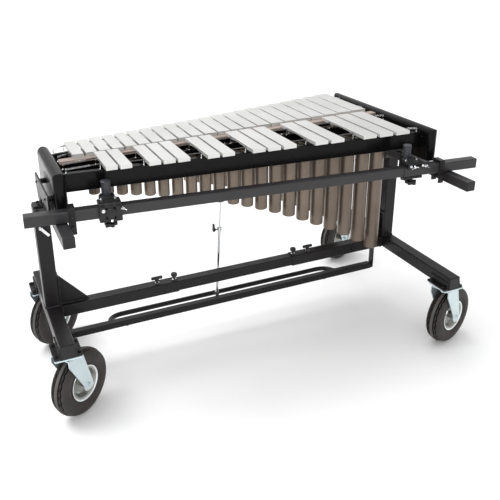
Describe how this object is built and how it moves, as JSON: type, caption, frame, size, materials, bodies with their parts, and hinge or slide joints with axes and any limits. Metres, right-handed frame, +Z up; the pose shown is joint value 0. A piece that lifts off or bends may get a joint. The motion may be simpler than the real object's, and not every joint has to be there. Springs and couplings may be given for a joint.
{
  "type": "field vibraphone",
  "caption": "Keyboard percussion instrument with tuned metal bars over tube resonators, a damper pedal and an accessory bar, on a wheeled field frame.",
  "frame": {"origin": "on the floor under the middle of the instrument's outline, about 40 mm to the right of the point midway between the two legs", "axes": "+X along the keyboard towards the long low bars, +Y from the sharps' side, which faces the audience, to the naturals' side where the player stands, +Z up"},
  "size_m": [1.6604, 0.9896, 0.871],
  "materials": {
    "frame_black": "satin black powder coat",
    "board_black": "satin black lacquer",
    "bar_silver": "matt silver anodised",
    "resonator_bronze": "satin bronze coating",
    "zinc": "bright zinc plating",
    "tyre_rubber": "matt black rubber",
    "chrome": "bright chrome plating",
    "felt": "pale tan wool felt",
    "knob_black": "matt black moulded plastic"
  },
  "bodies": {
    "frame": {"left_leg": "frame_black", "left_stretcher_sleeve": "frame_black", "right_leg": "frame_black", "right_stretcher_sleeve": "frame_black", "stretcher_inner_tube": "frame_black", "front_left_caster_plate": "zinc", "back_left_caster_plate": "zinc", "front_right_caster_plate": "zinc", "back_right_caster_plate": "zinc", "left_end_board": "board_black", "left_board_bracket": "frame_black", "left_pedal_hanger": "frame_black", "right_end_board": "board_black", "right_board_bracket": "frame_black", "right_pedal_hanger": "frame_black", "front_rail": "board_black", "accidental_rear_rail": "board_black", "natural_front_rail": "board_black", "back_rail": "board_black", "high_natural_bars": "bar_silver", "high_accidental_bars": "bar_silver", "middle_natural_bars": "bar_silver", "middle_accidental_bars": "bar_silver", "low_natural_bars": "bar_silver", "low_accidental_bars": "bar_silver", "front_resonator_bank": "resonator_bronze", "back_resonator_bank": "resonator_bronze", "rack_bar": "frame_black", "left_rack_arm": "frame_black", "left_rack_clamp": "frame_black", "right_rack_arm": "frame_black", "right_rack_clamp": "frame_black"},
    "front_left_caster": {"front_left_caster_fork": "zinc"},
    "front_left_wheel": {"front_left_wheel_rim": "zinc", "front_left_tyre": "tyre_rubber"},
    "back_left_caster": {"back_left_caster_fork": "zinc"},
    "back_left_wheel": {"back_left_wheel_rim": "zinc", "back_left_tyre": "tyre_rubber"},
    "front_right_caster": {"front_right_caster_fork": "zinc"},
    "front_right_wheel": {"front_right_wheel_rim": "zinc", "front_right_tyre": "tyre_rubber"},
    "back_right_caster": {"back_right_caster_fork": "zinc"},
    "back_right_wheel": {"back_right_wheel_rim": "zinc", "back_right_tyre": "tyre_rubber"},
    "pedal": {"damper_pedal": "frame_black"},
    "pull_rod": {"lower_pull_rod": "chrome", "upper_pull_rod": "chrome"},
    "rod_screw": {"pull_rod_wing_screw": "knob_black"},
    "damper": {"damper_bar": "frame_black", "damper_felt": "felt"},
    "left_wing_knob": {"left_stretcher_wing_knob": "knob_black"},
    "left_lock_knob": {"left_stretcher_lock_knob": "knob_black"},
    "right_wing_knob": {"right_stretcher_wing_knob": "knob_black"},
    "right_lock_knob": {"right_stretcher_lock_knob": "knob_black"},
    "left_clamp": {"left_accessory_clamp": "frame_black"},
    "left_post": {"left_accessory_post": "zinc"},
    "left_knob": {"left_accessory_knob": "knob_black"},
    "right_clamp": {"right_accessory_clamp": "frame_black"},
    "right_post": {"right_accessory_post": "zinc"},
    "right_knob": {"right_accessory_knob": "knob_black"}
  },
  "joints": [
    {"name": "front_left_caster_swivel", "type": "hinge", "parent": "frame", "child": "front_left_caster", "pos_m": [-0.7516, -0.22525, 0.2625], "axis": [0, 0, 1], "continuous": true},
    {"name": "front_left_wheel_spin", "type": "hinge", "parent": "front_left_caster", "child": "front_left_wheel", "pos_m": [-0.71613, -0.19755, 0.1185], "axis": [-0.6157, 0.788, 0], "continuous": true},
    {"name": "back_left_caster_swivel", "type": "hinge", "parent": "frame", "child": "back_left_caster", "pos_m": [-0.7516, 0.24575, 0.2625], "axis": [0, 0, 1], "continuous": true},
    {"name": "back_left_wheel_spin", "type": "hinge", "parent": "back_left_caster", "child": "back_left_wheel", "pos_m": [-0.71613, 0.27345, 0.1185], "axis": [-0.6157, 0.788, 0], "continuous": true},
    {"name": "front_right_caster_swivel", "type": "hinge", "parent": "frame", "child": "front_right_caster", "pos_m": [0.67241, -0.39725, 0.2625], "axis": [0, 0, 1], "continuous": true},
    {"name": "front_right_wheel_spin", "type": "hinge", "parent": "front_right_caster", "child": "front_right_wheel", "pos_m": [0.71544, -0.3841, 0.1185], "axis": [-0.2924, 0.9563, 0], "continuous": true},
    {"name": "back_right_caster_swivel", "type": "hinge", "parent": "frame", "child": "back_right_caster", "pos_m": [0.67241, 0.41775, 0.2625], "axis": [0, 0, 1], "continuous": true},
    {"name": "back_right_wheel_spin", "type": "hinge", "parent": "back_right_caster", "child": "back_right_wheel", "pos_m": [0.71495, 0.4324, 0.1185], "axis": [-0.3256, 0.9455, 0], "continuous": true},
    {"name": "pedal_press", "type": "hinge", "parent": "frame", "child": "pedal", "pos_m": [-0.00298, 0.05325, 0.15], "axis": [-1, 0, 0], "range_deg": [0, 12], "stiffness_Nm_per_rad": 40, "springref_deg": -11.46},
    {"name": "pull_rod_draw", "type": "slide", "parent": "frame", "child": "pull_rod", "axis": [0, 0, -1], "range_m": [0, 0.0062]},
    {"name": "damper_drop", "type": "slide", "parent": "frame", "child": "damper", "axis": [0, 0, -1], "range_m": [0, 0.0062]},
    {"name": "rod_screw_turn", "type": "hinge", "parent": "pull_rod", "child": "rod_screw", "pos_m": [-0.10249, 0.04371, 0.46866], "axis": [1, 0, 0], "continuous": true},
    {"name": "left_wing_knob_turn", "type": "hinge", "parent": "frame", "child": "left_wing_knob", "pos_m": [-0.3646, 0.01025, 0.311], "axis": [0, 0, 1], "continuous": true},
    {"name": "left_lock_knob_turn", "type": "hinge", "parent": "frame", "child": "left_lock_knob", "pos_m": [-0.29659, 0.01025, 0.311], "axis": [0, 0, 1], "continuous": true},
    {"name": "right_wing_knob_turn", "type": "hinge", "parent": "frame", "child": "right_wing_knob", "pos_m": [0.28541, 0.01025, 0.311], "axis": [0, 0, 1], "continuous": true},
    {"name": "right_lock_knob_turn", "type": "hinge", "parent": "frame", "child": "right_lock_knob", "pos_m": [0.2174, 0.01025, 0.311], "axis": [0, 0, 1], "continuous": true},
    {"name": "left_clamp_slide", "type": "slide", "parent": "frame", "child": "left_clamp", "axis": [0.9964, -0.0851, 0], "range_m": [-0.04, 0.35]},
    {"name": "left_post_slide", "type": "slide", "parent": "left_clamp", "child": "left_post", "axis": [0, 0, 1], "range_m": [-0.04, 0.02]},
    {"name": "left_knob_turn", "type": "hinge", "parent": "left_clamp", "child": "left_knob", "pos_m": [-0.57661, -0.25222, 0.7072], "axis": [0, 0, 1], "continuous": true},
    {"name": "right_clamp_slide", "type": "slide", "parent": "frame", "child": "right_clamp", "axis": [0.9964, -0.0851, 0], "range_m": [-0.37, 0.045]},
    {"name": "right_post_slide", "type": "slide", "parent": "right_clamp", "child": "right_post", "axis": [0, 0, 1], "range_m": [-0.04, 0.02]},
    {"name": "right_knob_turn", "type": "hinge", "parent": "right_clamp", "child": "right_knob", "pos_m": [0.49947, -0.34409, 0.7072], "axis": [0, 0, 1], "continuous": true}
  ],
  "couplings": [
    {"joint": "pull_rod_draw", "follows": "pedal_press", "m_per_rad": 0.029},
    {"joint": "damper_drop", "follows": "pedal_press", "m_per_rad": 0.029}
  ]
}
